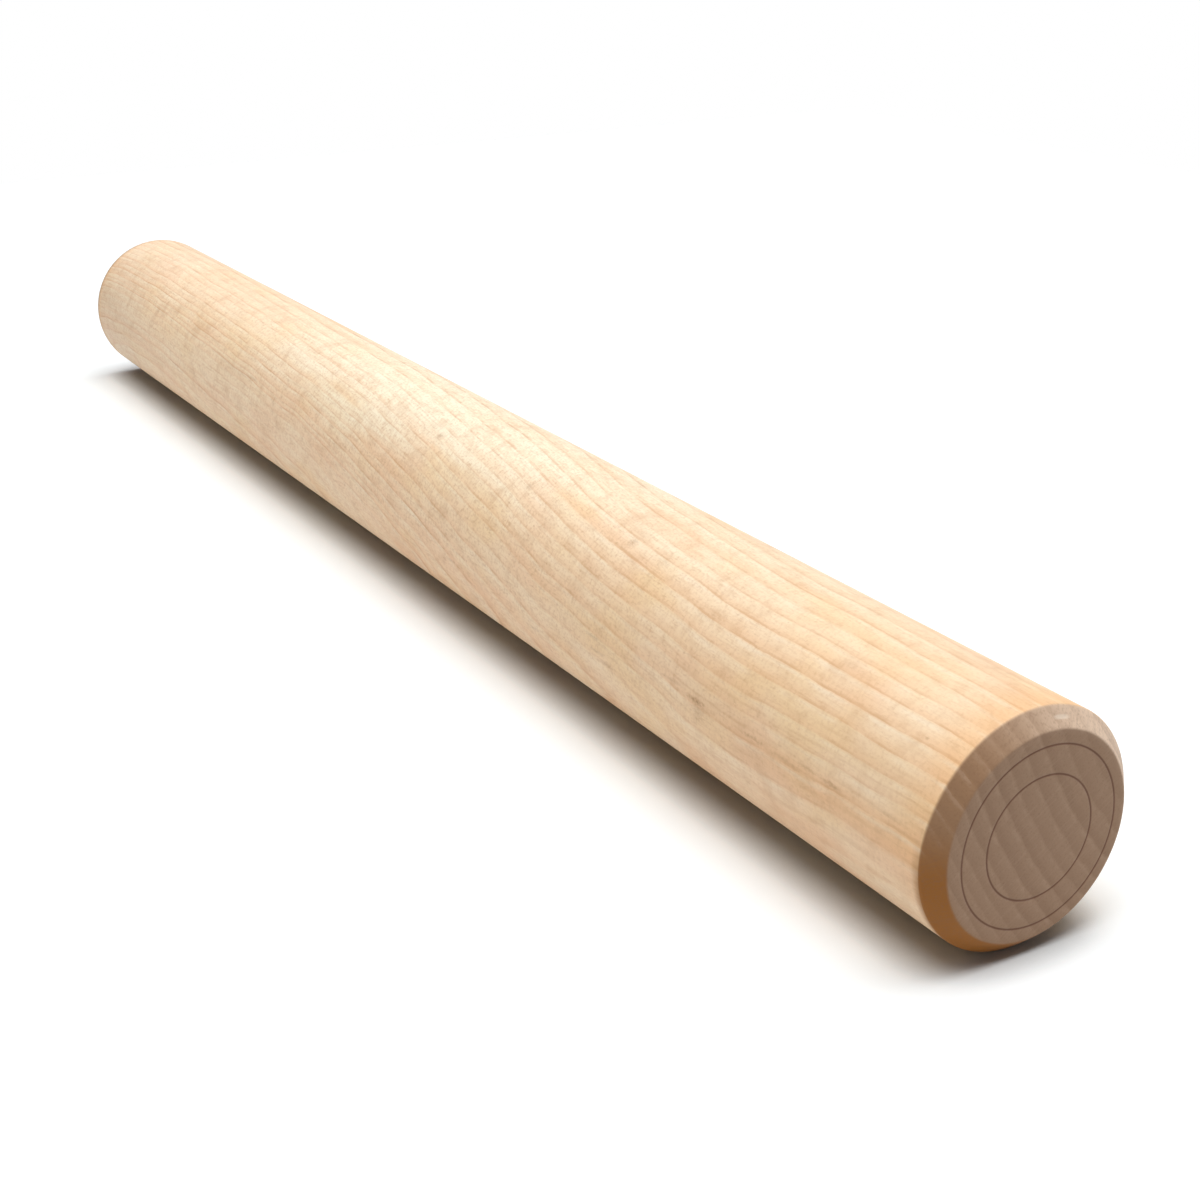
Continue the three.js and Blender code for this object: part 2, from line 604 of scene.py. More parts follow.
        # The layer that changes a tint's largest share, from low to high, and the share at both.
        spans = {
            "band": (Layer.PAINTED_SHEEN, 0.00, 1.00, 0.34, 0.20),
            "line": (Layer.DRY, 0.12, 0.45, 0.36, 0.50),
            "curl": (Layer.DRY, 0.40, 0.80, 0.22, 0.31),
            "fibre": (Layer.DRY, 0.00, 0.30, 0.135, 0.27),
            "cross": (Layer.DRY, 0.00, 0.30, 0.12, 0.24),
            "grain": (Layer.DRY, 0.00, 0.30, 0.185, 0.37),
            "fleck": (Layer.DRY, 0.00, 0.30, 0.145, 0.29),
        }
        most = {
            name: add_node(
                tree, "ShaderNodeMapRange", {0: layers[layer], 1: low, 2: high, 3: first, 4: last}
            ).outputs[0]
            for name, (layer, low, high, first, last) in spans.items()
        }
        tints = (
            (self.pink_cloud, noise["pink"], 0.42, 0.66, 0.68),
            (self.gold_cloud, noise["gold"], 0.46, 0.70, 0.60),
            (self.tan_cloud, noise["tan"], 0.50, 0.78, 0.42),
            (self.dry_wood, layers[Layer.DRY], 0.45, 0.68, 0.16),
            (self.dull_wood, layers[Layer.DRY], 0.90, 1.00, 0.30),
            # Painted sheen: pale cream where a soft reflection falls.
            (self.painted_sheen_tone, sheen_streaks, 0.05, 0.60, 0.90),
            (self.toast, layers[Layer.TOAST], 0.0, 1.0, 0.60),
            (self.late_wood, late["band"], 0.0, 1.0, most["band"]),
            (self.first_wood, late["first"], 0.0, 1.0, 0.42),
            (self.line, late["line"], 0.0, 1.0, most["line"]),
            (self.line, late["second"], 0.0, 1.0, 0.20),
            # Painted glints within the painted sheen.
            (self.painted_sheen_tone, painted_glints, 0.48, 0.66, 0.60),
            (self.figure, noise["mottle"], 0.48, 0.74, 0.22),
            (self.figure, noise["curl"], 0.54, 0.76, most["curl"]),
            (self.figure, noise["fibre"], 0.48, 0.74, most["fibre"]),
            (self.figure, noise["cross"], 0.52, 0.75, most["cross"]),
            (self.figure, noise["grain"], 0.45, 0.75, most["grain"]),
            (self.fleck, noise["fleck"], 0.60, 0.76, most["fleck"]),
            (self.mineral, self.mineral_marks(wood), 0.0, 1.0, 1.0),
        )
        return self.tinted(tree, self.early_wood, tints)

    def end_colour(self, wood: WoodNodes) -> bpy.types.NodeSocket:
        """Lays ring bands, rays and fuzz over the cut ends.

        The near face gets its scorched ring lines, and the bevels their oil brown with painted shade,
        painted warm bounce light in orange, and the pale wood of the nick.

        Args:
            wood: The nodes.

        Returns:
            The colour of wood cut across the grain.
        """
        tree, layers, noise, late = wood.tree, wood.layers, wood.noise, wood.late
        face_tints = (
            (self.face_late, late["band"], 0.1, 1.0, 0.28),
            (self.face_first, late["first"], 0.0, 1.0, 0.42),
            (self.face_first, noise["ray"], 0.50, 0.72, 0.22),
            (self.face_late, noise["fuzz"], 0.50, 0.75, 0.30),
            (self.scorched, layers[Layer.BURNT], 0.0, 1.0, 0.80),
        )
        bevel_tints = (
            # Oil brown with painted shade, brownest low on the camera's side.
            (self.bevel_oil_and_shade, layers[Layer.OIL_AND_SHADE], 0.0, 1.0, 1.0),
            (self.face_late, late["band"], 0.1, 1.0, 0.22),
            (self.bevel_wood, late["first"], 0.0, 1.0, 0.16),
            # Painted warm bounce light: orange low on the camera's side.
            (self.bevel_painted_bounce, layers[Layer.PAINTED_WARM_BOUNCE], 0.0, 1.0, 1.0),
            (self.face_late, noise["fuzz"], 0.45, 0.75, 0.28),
            (self.face_late, noise["ray"], 0.50, 0.75, 0.16),
            (self.chipped, layers[Layer.CHIP], 0.1, 0.8, 0.62),
        )
        face = self.tinted(tree, self.face_wood, face_tints)
        bevel = self.tinted(tree, self.bevel_wood, bevel_tints)
        return add_node(
            tree, "ShaderNodeMix", {0: layers[Layer.FACE], 6: bevel, 7: face}, data_type="RGBA"
        ).outputs[2]

    def surface(self, wood: WoodNodes, colour: bpy.types.NodeSocket) -> None:
        """Gives the colour a satin gloss on the barrel, a dull one on the ends, and fibre in relief.

        Args:
            wood: The nodes.
            colour: The wood's colour.
        """
        tree, noise = wood.tree, wood.noise
        end = wood.layers[Layer.END_GRAIN]
        smoothest, roughest = self.satin
        satin = add_node(
            tree, "ShaderNodeMapRange", {0: noise["fibre"], 1: 0.3, 2: 0.7, 3: smoothest, 4: roughest}
        ).outputs[0]
        barrel_shine, end_shine = self.shine
        shine = add_node(tree, "ShaderNodeMapRange", {0: end, 3: barrel_shine, 4: end_shine}).outputs[0]
        rough = add_node(
            tree, "ShaderNodeMix", {0: end, 2: satin, 3: self.dull}, data_type="FLOAT"
        ).outputs[0]
        grain = add_node(
            tree,
            "ShaderNodeMath",
            {0: noise["fibre"], 1: 0.5, 2: noise["fleck"]},
            operation="MULTIPLY_ADD",
        ).outputs[0]
        height = add_node(
            tree, "ShaderNodeMix", {0: end, 2: grain, 3: noise["fuzz"]}, data_type="FLOAT"
        ).outputs[0]
        bump = add_node(
            tree,
            "ShaderNodeBump",
            {"Strength": self.relief_share, "Distance": self.relief, "Height": height},
        )
        shader = add_node(
            tree,
            "ShaderNodeBsdfPrincipled",
            {
                "Base Color": colour,
                "Roughness": rough,
                "IOR": self.ior,
                "Specular IOR Level": shine,
                "Normal": bump.outputs[0],
            },
        )
        add_node(tree, "ShaderNodeOutputMaterial", {"Surface": shader.outputs[0]})


@dataclass(frozen=True)
class Toning:
    """Where oil, air and the saw toned the wood, apart from its rings, and where sheen, shade and warm
    bounce light are painted on it.

    Lengths are millimetres. Turns are degrees from the pin's top towards the side that the camera sees. A
    pair of places or turns says where a smooth step starts and where it is full.
    """

    oil_shade_turn: float = 115.0  # where the bevels are brownest with oil and painted shade
    oil_shade_full: float = 50.0  # degrees away to which they stay so
    oil_shade_gone: float = 175.0
    bounce_turn: float = 130.0  # the same for the painted warm bounce light, orange in the brown
    bounce_full: float = 22.0
    bounce_gone: float = 72.0
    near_soak: float = 0.55  # how far the end grain's colour creeps on to the barrel, where the warm bounce light is painted
    far_soak: float = 0.6
    soak_blend: float = 0.35  # half of the change from barrel to end grain
    rim_blend: tuple[float, float] = (0.3, -0.45)  # past the face's rim
    face_blend: tuple[float, float] = (0.6, 0.2)  # in from the end
    near_toast: float = 15.0  # how far the oil crept along the barrel from the near bevel
    near_strength: float = 0.22  # of the near toast all round
    top_strength: float = 0.53  # what the top adds to it
    top_turns: tuple[float, float] = (95.0, 45.0)
    far_toast: float = 24.0
    far_strength: float = 0.25
    far_edge_toast: float = 5.0  # the darker last part of it
    far_edge_strength: float = 0.5
    spot_place: tuple[float, float] = (225.0, 86.0)  # of a toasted spot, along the pin and round it
    spot_reach: tuple[float, float] = (40.0, 11.0)
    spot_strength: float = 0.7
    wettest: float = 220.0  # along the pin, where the oil is full
    driest: float = -220.0
    # The painted sheen: a pale band on the top of the barrel's middle, where a soft reflection falls.
    sheen_middle: float = 15.0  # along the pin
    sheen_back: float = 120.0  # reach of the painted sheen towards the far end
    sheen_front: float = 115.0  # and towards the near end, low on the pin
    sheen_top: float = 45.0  # how much further it reaches there along the top
    sheen_top_turns: tuple[float, float] = (45.0, 15.0)
    sheen_seen_turns: tuple[float, float] = (88.0, 20.0)  # down the camera's side
    sheen_behind_turns: tuple[float, float] = (-70.0, -30.0)
    sag_middle: float = -50.0  # along the pin, where the painted sheen sags lower
    sag_reach: float = 35.0
    sag_turn: float = 12.0  # degrees by which it sags
    second_turns: tuple[float, float] = (52.0, 64.0)  # where years have a second line
    second_places: tuple[float, float] = (100.0, 170.0)

    def away(self, turn: np.ndarray, middle: float) -> np.ndarray:
        """Degrees round the pin from a middle, from 0 to 180."""
        return np.abs((turn - middle + 180.0) % 360.0 - 180.0)

    def brown(self, turn: np.ndarray) -> np.ndarray:
        """How brown the bevel is with oil and painted shade: a smooth step down with the way round from its
        brownest place.
        """
        return smooth_step(self.away(turn, self.oil_shade_turn), self.oil_shade_gone, self.oil_shade_full)

    def amber(self, turn: np.ndarray) -> np.ndarray:
        """How much painted warm bounce light the bevel has: a smooth step down with the way round from its
        warmest place.
        """
        return smooth_step(self.away(turn, self.bounce_turn), self.bounce_gone, self.bounce_full)

    def toast(self, x: np.ndarray, turn: np.ndarray, inset: np.ndarray, edge: float) -> np.ndarray:
        """How far the barrel is toasted by oil that crept in from the ends.

        At the near end a smooth step falls with the way from the bevel, and is strongest on top. At the
        far end two such steps add up, a long faint one and a short strong one. A bell-shaped spot lies low
        at the near end.

        Args:
            x: Places along the pin.
            turn: Degrees from the top.
            inset: Ways from the nearer end face.
            edge: The bevel's length along the pin.

        Returns:
            The share of toasted colour, at most about 1.
        """
        top = self.near_strength + self.top_strength * smooth_step(np.abs(turn), *self.top_turns)
        near = smooth_step(inset, edge + self.near_toast, edge) * top
        far = self.far_strength * smooth_step(inset, edge + self.far_toast, edge)
        far = far + self.far_edge_strength * smooth_step(inset, edge + self.far_edge_toast, edge)
        along = (x - self.spot_place[0]) / self.spot_reach[0]
        around = (turn - self.spot_place[1]) / self.spot_reach[1]
        return np.where(x > 0.0, near, far) + self.spot_strength * np.exp(-(along**2) - around**2)

    def dry(self, x: np.ndarray) -> np.ndarray:
        """How dry the wood is, in proportion to the way from the wettest place to the driest."""
        return np.clip((self.wettest - x) / (self.wettest - self.driest), 0.0, 1.0)

    def pale(self, x: np.ndarray, turn: np.ndarray) -> np.ndarray:
        """Where the sheen is painted: a bell along the pin times a smooth step down each of its sides.

        The bell reaches further along the top of the near half, and the camera's side sags a little lower
        at one place.

        Args:
            x: Places along the pin.
            turn: Degrees from the top.

        Returns:
            The share of painted sheen, from 0 to 1.
        """
        lower = turn - self.sag_turn * np.exp(-(((x - self.sag_middle) / self.sag_reach) ** 2))
        upper = smooth_step(lower, *self.sheen_seen_turns) * smooth_step(turn, *self.sheen_behind_turns)
        front = self.sheen_front + self.sheen_top * smooth_step(turn, *self.sheen_top_turns)
        reach = np.where(x > self.sheen_middle, front, self.sheen_back)
        return np.exp(-(((x - self.sheen_middle) / reach) ** 2)) * upper

    def second_line(self, x: np.ndarray, turn: np.ndarray) -> np.ndarray:
        """Where each year has a second line: low on the camera's side of the near end."""
        return smooth_step(turn, *self.second_turns) * smooth_step(x, *self.second_places)

    def end_grain(self, x: np.ndarray, turn: np.ndarray, inset: np.ndarray, edge: float) -> np.ndarray:
        """Where the end grain shows: a narrow smooth step at the bevel's edge, moved on to the barrel by
        the oil's creep at the far end and by the painted warm bounce light at the near end.

        Args:
            x: Places along the pin.
            turn: Degrees from the top.
            inset: Ways from the nearer end face.
            edge: The bevel's length along the pin.

        Returns:
            0 on the barrel and 1 on the ends.
        """
        soaked = inset - np.where(x > 0.0, self.near_soak * self.amber(turn), self.far_soak)
        return smooth_step(soaked, edge + self.soak_blend, edge - self.soak_blend)

    def face(self, radius: np.ndarray, inset: np.ndarray, rim: float) -> np.ndarray:
        """Where an end face is: a smooth step over its rim times one just inside the end.

        Args:
            radius: Distances from the axis.
            inset: Ways from the nearer end face.
            rim: The face's radius.

        Returns:
            0 on the bevels and barrel and 1 on the faces.
        """
        outer, inner = self.rim_blend
        return smooth_step(radius, rim + outer, rim + inner) * smooth_step(inset, *self.face_blend)


@dataclass(frozen=True)
class RingLine:
    """A plain ring scorched into the near face, as a shallow groove."""

    radius: float
    half_width: float = 0.36 * MM
    depth: float = 0.10 * MM


@dataclass(frozen=True)
class Nick:
    """A small flake broken out of the near bevel."""

    angle: float = math.radians(-11.5)  # from the top, towards the camera's side
    inset: float = 1.7 * MM  # from the face, along the pin
    around: float = 2.3 * MM  # half of its length round the bevel
    over: float = 0.4 * MM  # half of its width over the slope
    depth: float = 0.12 * MM


@dataclass
class Dowel:
    """The turned pin: a barrel between two bevels and flat end faces, with sanded edges."""

    node: str = "maple_dowel"
    bevel: float = 3.5 * MM  # along the pin and across it
    barrel_edge: float = 1.2 * MM  # sanded round from barrel to bevel
    face_edge: float = 0.8 * MM  # sanded round from bevel to face
    wander: float = 0.12 * MM  # how far the hand-sanded bevel strays along the pin
    columns: int = 272  # around
    barrel_rows: int = 250
    face_rows: int = 25
    slope_rows: int = 9  # on the bevel
    arc_rows: int = 6  # on each sanded round
    groove_rows: int = 5  # across each ring line
    ring_lines: tuple[RingLine, ...] = (RingLine(12.85 * MM), RingLine(18.85 * MM))
    ring_shift: tuple[float, float] = (0.44 * MM, -0.08 * MM)  # of their middle, sideways and up
    nick: Nick = Nick()
    toning: Toning = Toning()
    sheet_mm: float = 332.0  # side of the square that the surface is unrolled on
    sheet_margin_mm: float = 4.0
    low: np.ndarray = field(init=False)
    high: np.ndarray = field(init=False)

    def __post_init__(self) -> None:
        """Takes the length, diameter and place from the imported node."""
        low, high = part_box(self.node)
        self.low, self.high = np.array(low), np.array(high)
        self.radius = float(self.high[2] - self.low[2]) / 2.0
        self.length = float(self.high[0] - self.low[0])
        self.axis_height = float(self.high[2] + self.low[2]) / 2.0

    def end_section(self, lined: bool) -> tuple[np.ndarray, np.ndarray]:
        """Half of the lengthwise section at the near end, from the face's middle out to the barrel.

        The face and the bevel are even steps along straight lines. Each corner between them is an arc of
        the sanded radius through 45 degrees, tangent to both its neighbours. A ring line is a groove with
        straight sides.

        Args:
            lined: Whether the face has its ring lines cut in.

        Returns:
            Places along the pin and distances from its axis.
        """
        half = self.length / 2.0
        rim = self.radius - self.bevel
        face_cut = self.face_edge * math.tan(math.pi / 8.0)
        barrel_cut = self.barrel_edge * math.tan(math.pi / 8.0)
        diagonal = math.sqrt(0.5)
        turn = np.linspace(0.0, math.pi / 4.0, self.arc_rows + 1)[1:]
        face_x, face_r = self.face_section(half, rim - face_cut, lined)
        ease_x = half - self.face_edge * (1.0 - np.cos(turn))
        ease_r = rim - face_cut + self.face_edge * np.sin(turn)
        stop_x = half - self.bevel + barrel_cut * diagonal
        stop_r = self.radius - barrel_cut * diagonal
        slope = np.linspace(0.0, 1.0, self.slope_rows + 1)[1:]
        slope_x = ease_x[-1] + slope * (stop_x - ease_x[-1])
        slope_r = ease_r[-1] + slope * (stop_r - ease_r[-1])
        round_x = half - self.bevel - barrel_cut + self.barrel_edge * np.cos(math.pi / 4.0 + turn)
        round_r = self.radius - self.barrel_edge + self.barrel_edge * np.sin(math.pi / 4.0 + turn)
        x = np.concatenate((face_x, ease_x, slope_x, round_x))
        return x, np.concatenate((face_r, ease_r, slope_r, round_r))

    def face_section(self, half: float, rim: float, lined: bool) -> tuple[np.ndarray, np.ndarray]:
        """Section of a flat face, with extra steps where the ring lines lie.

        A ring line's groove deepens in proportion to the way from its edges, to its depth in the middle.

        Args:
            half: The face's place along the pin.
            rim: Where the flat ends.
            lined: Whether the ring lines are cut in.

        Returns:
            Places along the pin and distances from its axis.
        """
        r = np.linspace(0.0, rim, self.face_rows + 1)[1:]
        for line in self.ring_lines:
            r = r[np.abs(r - line.radius) > 1.5 * line.half_width]
            r = np.append(r, line.radius + line.half_width * np.linspace(-1.0, 1.0, self.groove_rows))
        r = np.sort(r)
        dip = np.zeros(len(r))
        for line in self.ring_lines:
            dip += lined * line.depth * np.clip(1.0 - np.abs(r - line.radius) / line.half_width, 0.0, 1.0)
        return half - dip, r

    def build(self) -> bpy.types.Object:
        """Turns the section about the axis on a grid and closes it with a point in each face.

        A point is (x + stray, -r sin a, height + r cos a). The stray is the wander times a slow wave,
        0.7 sin(a + 0.6) + 0.3 sin(3a + 1.9), and is full at the barrel's edge of the bevel and nothing at
        the face. The middle of the near face's rings is shifted a little, and a nick is pressed into the
        near bevel, along the bevel's outward direction.

        Returns:
            The piece, in the row frame.
        """
        far_x, far_r = self.end_section(lined=False)
        near_x, near_r = self.end_section(lined=True)
        barrel_x = np.linspace(-far_x[-1], far_x[-1], self.barrel_rows + 2)[1:-1]
        x = np.concatenate((-far_x, barrel_x, near_x[::-1]))
        r = np.concatenate((far_r, np.full(self.barrel_rows, self.radius), near_r[::-1]))
        angle = 2.0 * np.pi * np.arange(self.columns) / self.columns
        inset = self.length / 2.0 - np.abs(x)
        bend = smooth_step(inset, 0.0, self.bevel) * smooth_step(inset, 3.0 * self.bevel, 1.5 * self.bevel)
        stray = 0.7 * np.sin(angle + 0.6) + 0.3 * np.sin(3.0 * angle + 1.9)
        grid = np.empty((len(x), self.columns, 3))
        grid[..., 0] = x[:, None] + self.wander * bend[:, None] * stray
        grid[..., 1] = -r[:, None] * np.sin(angle)
        grid[..., 2] = self.axis_height + r[:, None] * np.cos(angle)
        grid[..., 1:] += self.line_shift(x, r)[:, None]
        chip = self.nick_share(x, angle)
        outward = np.stack((np.ones_like(angle), -np.sin(angle), np.cos(angle)), axis=-1) * math.sqrt(0.5)
        grid -= self.nick.depth * chip[..., None] * outward
        poles = np.array([[self.low[0], 0.0, self.axis_height], [self.high[0], 0.0, self.axis_height]])
        points = np.concatenate((grid.reshape(-1, 3), poles))
        mesh = bpy.data.meshes.new("turned_dowel")
        self.fill(mesh, points, len(x))
        self.unroll(mesh, x, r, len(far_x))
        self.carry_grain(mesh, points, np.append(chip.ravel(), (0.0, 0.0)))
        piece = bpy.data.objects.new("turned_dowel", mesh)
        bpy.context.scene.collection.objects.link(piece)
        return piece

    def line_shift(self, x: np.ndarray, r: np.ndarray) -> np.ndarray:
        """Sideways shift of the near face's rows, full at the ring lines and nothing at the middle and rim.

        Args:
            x: Each row's place along the pin.
            r: Each row's distance from the axis.

        Returns:
            The shift of each row across the pin and upwards.
        """
        rim = self.radius - self.bevel
        inner, outer = self.ring_lines
        full = smooth_step(r, 0.0, inner.radius - inner.half_width)
        full = full * smooth_step(r, rim - self.face_edge / 2.0, outer.radius + outer.half_width)
        near = x > self.length / 2.0 - self.bevel / 2.0
        return (full * near)[:, None] * np.array(self.ring_shift)

    def nick_share(self, x: np.ndarray, angle: np.ndarray) -> np.ndarray:
        """How deep the nick goes at each point of the grid, falling from 1 at its middle as a bell.

        The distance is the length of (way round / half length, way over the slope / half width), and the
        share is e to the minus its fourth power, for a flat bottom.

        Args:
            x: Each row's place along the pin.
            angle: Each column's angle from the top.

        Returns:
            The share from 0 to 1.
        """
        turn = (angle - self.nick.angle + math.pi) % (2.0 * math.pi) - math.pi
        around = (self.radius - self.bevel / 2.0) * turn / self.nick.around
        over = math.sqrt(2.0) * (self.length / 2.0 - x - self.nick.inset) / self.nick.over
        return np.exp(-((around**2 + over[:, None] ** 2) ** 2))

    def fill(self, mesh: bpy.types.Mesh, points: np.ndarray, rows: int) -> None:
        """Puts the points into the mesh, with quads between the rows and triangles round the poles.

        Args:
            mesh: The empty mesh.
            points: The grid's points row by row, then the far and the near pole.
            rows: The number of rows.
        """
        column = np.arange(self.columns)
        after = (column + 1) % self.columns
        first = np.arange(rows - 1)[:, None] * self.columns
        second = first + self.columns
        quads = np.stack((first + column, first + after, second + after, second + column), axis=-1)
        last = (rows - 1) * self.columns
        far_pole = np.full(self.columns, rows * self.columns)
        far = np.stack((far_pole, after, column), axis=-1)
        near = np.stack((far_pole + 1, last + column, last + after), axis=-1)
        corners = np.concatenate((quads.ravel(), far.ravel(), near.ravel()))
        sizes = np.repeat((4, 3), ((rows - 1) * self.columns, 2 * self.columns))
        mesh.vertices.add(len(points))
        mesh.vertices.foreach_set("co", points.ravel())
        mesh.loops.add(len(corners))
        mesh.loops.foreach_set("vertex_index", corners)
        mesh.polygons.add(len(sizes))
        mesh.polygons.foreach_set("loop_start", np.cumsum(sizes) - sizes)
        mesh.polygons.foreach_set("use_smooth", np.ones(len(sizes), dtype=bool))
        mesh.update(calc_edges=True)
        mesh.validate()

    def unroll(self, mesh: bpy.types.Mesh, x: np.ndarray, r: np.ndarray, end_rows: int) -> None:
        """Lays the surface flat at one scale: the barrel as two strips and each end as a disc.

        On a strip, u is the way along the pin and v the way around it. On a disc, a point lies at its own
        angle, at its distance from the middle measured over the face and the bevel.

        Args:
            mesh: The filled mesh.
            x: Each row's place along the pin.
            r: Each row's distance from the axis.
            end_rows: The number of rows in one end.
        """
        margin = self.sheet_margin_mm
        rows = len(x)
        middle = rows // 2
        across = np.arange(self.columns + 1) / self.columns
        around = 2.0 * math.pi * self.radius / MM * across
        steps = np.hypot(np.diff(x[:end_rows], prepend=x[0]), np.diff(r[:end_rows], prepend=0.0))
        over = steps.cumsum() / MM
        angle = 2.0 * math.pi * across
        disc = over[:, None, None] * np.stack((np.sin(angle), np.cos(angle)), axis=-1)
        reach = over[-1] + margin
        far_middle = np.array((self.sheet_mm - reach, reach))
        near_middle = np.array((self.sheet_mm - reach, 3.0 * reach))
        far_disc = far_middle + disc
        near_disc = near_middle + disc[::-1]
        strip = np.empty((rows, self.columns + 1, 2))
        strip[..., 0] = margin + (x[:, None] - x[0]) / MM
        strip[..., 1] = margin + around
        low_strip = self.quad_corners(strip[end_rows - 1 : middle + 1])
        strip[..., 0] = margin + (x[:, None] - x[middle]) / MM
        strip[..., 1] = 2.0 * margin + around[-1] + around
        high_strip = self.quad_corners(strip[middle : rows - end_rows + 1])
        far_fan = np.stack(
            (np.broadcast_to(far_middle, (self.columns, 2)), far_disc[0, 1:], far_disc[0, :-1]), axis=1
        )
        near_fan = np.stack(
            (np.broadcast_to(near_middle, (self.columns, 2)), near_disc[-1, :-1], near_disc[-1, 1:]), axis=1
        )
        places = np.concatenate(
            (
                self.quad_corners(far_disc),
                low_strip,
                high_strip,
                self.quad_corners(near_disc),
                far_fan.reshape(-1, 2),
                near_fan.reshape(-1, 2),
            )
        )
        sheet = mesh.uv_layers.new(name="OFBake")
        sheet.uv.foreach_set("vector", (places / self.sheet_mm).ravel())

    def quad_corners(self, table: np.ndarray) -> np.ndarray:
        """Lists the four corners of each quad between the rows of a table of flat places.

        Args:
            table: Flat places by row and column, with the seam's column at both ends.

        Returns:
            The corners in the order in which the mesh lists them.
        """
        below, above = table[:-1, :-1], table[:-1, 1:]
        return np.stack((below, above, table[1:, 1:], table[1:, :-1]), axis=2).reshape(-1, 2)

    def carry_grain(self, mesh: bpy.types.Mesh, points: np.ndarray, chip: np.ndarray) -> None:
        """Writes the stem coordinates, ring numbers and kinds of surface of each point as attributes.

        The stem gives the rings, the toning the colours of oil and air with the painted sheen, shade and
        warm bounce light, and the ring lines their scorch.

        Args:
            mesh: The filled mesh.
            points: Its points, in metres.
            chip: How deep the nick goes at each point, from 0 to 1.
        """
        place = points / MM
        rings = GrowthRings(axis_height=self.axis_height / MM)
        depth, around = rings.depth(place)
        number, strength = rings.number(depth)
        x = place[:, 0]
        height = place[:, 2] - self.axis_height / MM
        radius = np.hypot(place[:, 1], height)
        turn = np.degrees(np.arctan2(-place[:, 1], height))
        inset = self.length / (2.0 * MM) - np.abs(x)
        edge = self.bevel / MM
        rim = self.radius / MM - edge
        toning = self.toning
        values = {
            Layer.RING: number,
            Layer.STRENGTH: strength,
            Layer.CLOSE: toning.second_line(x, turn),
            Layer.END_GRAIN: toning.end_grain(x, turn, inset, edge),
            Layer.FACE: toning.face(radius, inset, rim),
            Layer.OIL_AND_SHADE: toning.brown(turn),
            Layer.PAINTED_WARM_BOUNCE: toning.amber(turn),
            Layer.TOAST: toning.toast(x, turn, inset, edge),
            Layer.DRY: toning.dry(x),
            Layer.PAINTED_SHEEN: toning.pale(x, turn),
            Layer.BURNT: self.scorch(place[:, 1], height) * (x > 0.0) * (inset < 0.5),
            Layer.CHIP: chip,
        }
        stem = np.stack((x, around, depth), axis=-1)
        grain = mesh.attributes.new(Layer.STEM.value, "FLOAT_VECTOR", "POINT")
        grain.data.foreach_set("vector", stem.ravel())
        for layer, value in values.items():
            mesh.attributes.new(layer.value, "FLOAT", "POINT").data.foreach_set("value", value)

    def scorch(self, y: np.ndarray, height: np.ndarray) -> np.ndarray:
        """How dark the ring lines are, falling in proportion to the way from a line's middle to its edge.

        Args:
            y: Millimetres across the pin.
            height: Millimetres above its axis.

        Returns:
            The share of scorched colour, from 0 to 1.
        """
        across, up = np.array(self.ring_shift) / MM
        from_middle = np.hypot(y - across, height - up)
        burnt = np.zeros(len(y))
        for line in self.ring_lines:
            away = np.abs(from_middle - line.radius / MM) / (line.half_width / MM)
            burnt += np.clip(1.0 - away, 0.0, 1.0)
        return burnt

    def dress(self, piece: bpy.types.Object, finish: OiledMaple) -> None:
        """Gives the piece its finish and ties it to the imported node.

        Args:
            piece: The built piece.
            finish: The wood.
        """
        piece.data.materials.append(finish.material())
        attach(piece, "root")
        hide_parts(self.node)


